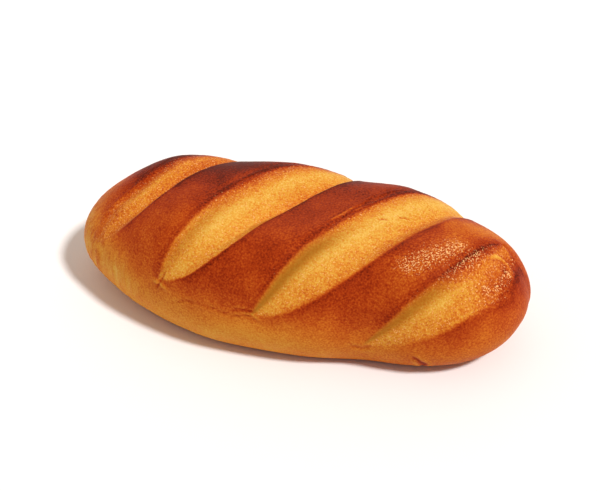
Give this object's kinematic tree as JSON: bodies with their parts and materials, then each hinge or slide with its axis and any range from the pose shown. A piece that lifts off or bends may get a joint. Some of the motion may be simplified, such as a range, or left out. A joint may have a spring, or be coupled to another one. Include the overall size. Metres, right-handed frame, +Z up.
{
  "type": "white bread loaf",
  "caption": "Oval hand-shaped loaf with a flat underside, opened across its crown by slanting slashes that baked into wide shallow bands.",
  "frame": {"origin": "centre of the loaf's footprint, on the surface it rests on", "axes": "+X along the loaf's length, towards its narrower end; +Y across it; +Z up through the slashed crown"},
  "size_m": [0.2784, 0.128, 0.0767],
  "materials": {
    "baked_crust": "satin"
  },
  "bodies": {
    "root": {"bread_loaf": "baked_crust"}
  },
  "joints": []
}
